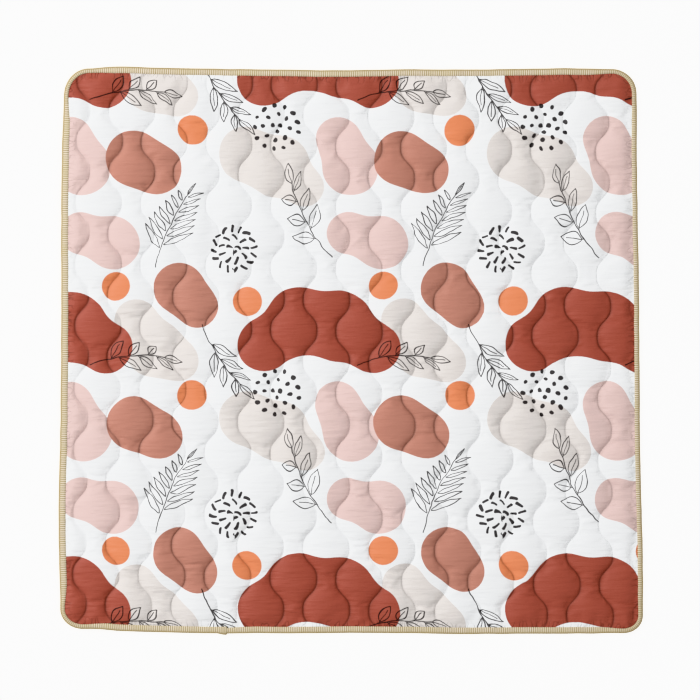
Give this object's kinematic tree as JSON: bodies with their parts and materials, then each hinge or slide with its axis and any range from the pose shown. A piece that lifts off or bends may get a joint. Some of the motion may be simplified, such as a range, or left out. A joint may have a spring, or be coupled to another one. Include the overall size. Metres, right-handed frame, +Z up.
{
  "type": "quilted baby play mat",
  "caption": "Flat square quilted floor mat with rounded corners, wavy mirrored seams that puff its top into swelling channels, and a ribbed tape folded over its edge",
  "frame": {"origin": "on the floor, under the middle of the mat's overall width and length", "axes": "+Z up, out of the quilted face; +Y towards the far edge, at the top of the picture; +X towards the right edge, along the longer side"},
  "size_m": [1.2804, 1.2445, 0.0156],
  "materials": {
    "printed_cloth": "brushed microfibre, off-white with a print of soft shapes in rust, clay, pink and greige",
    "binding_tape": "ribbed knitted tape in khaki beige with an ochre rolled rim"
  },
  "bodies": {
    "root": {"quilted_panel": "printed_cloth", "edge_binding": "binding_tape"}
  },
  "joints": []
}
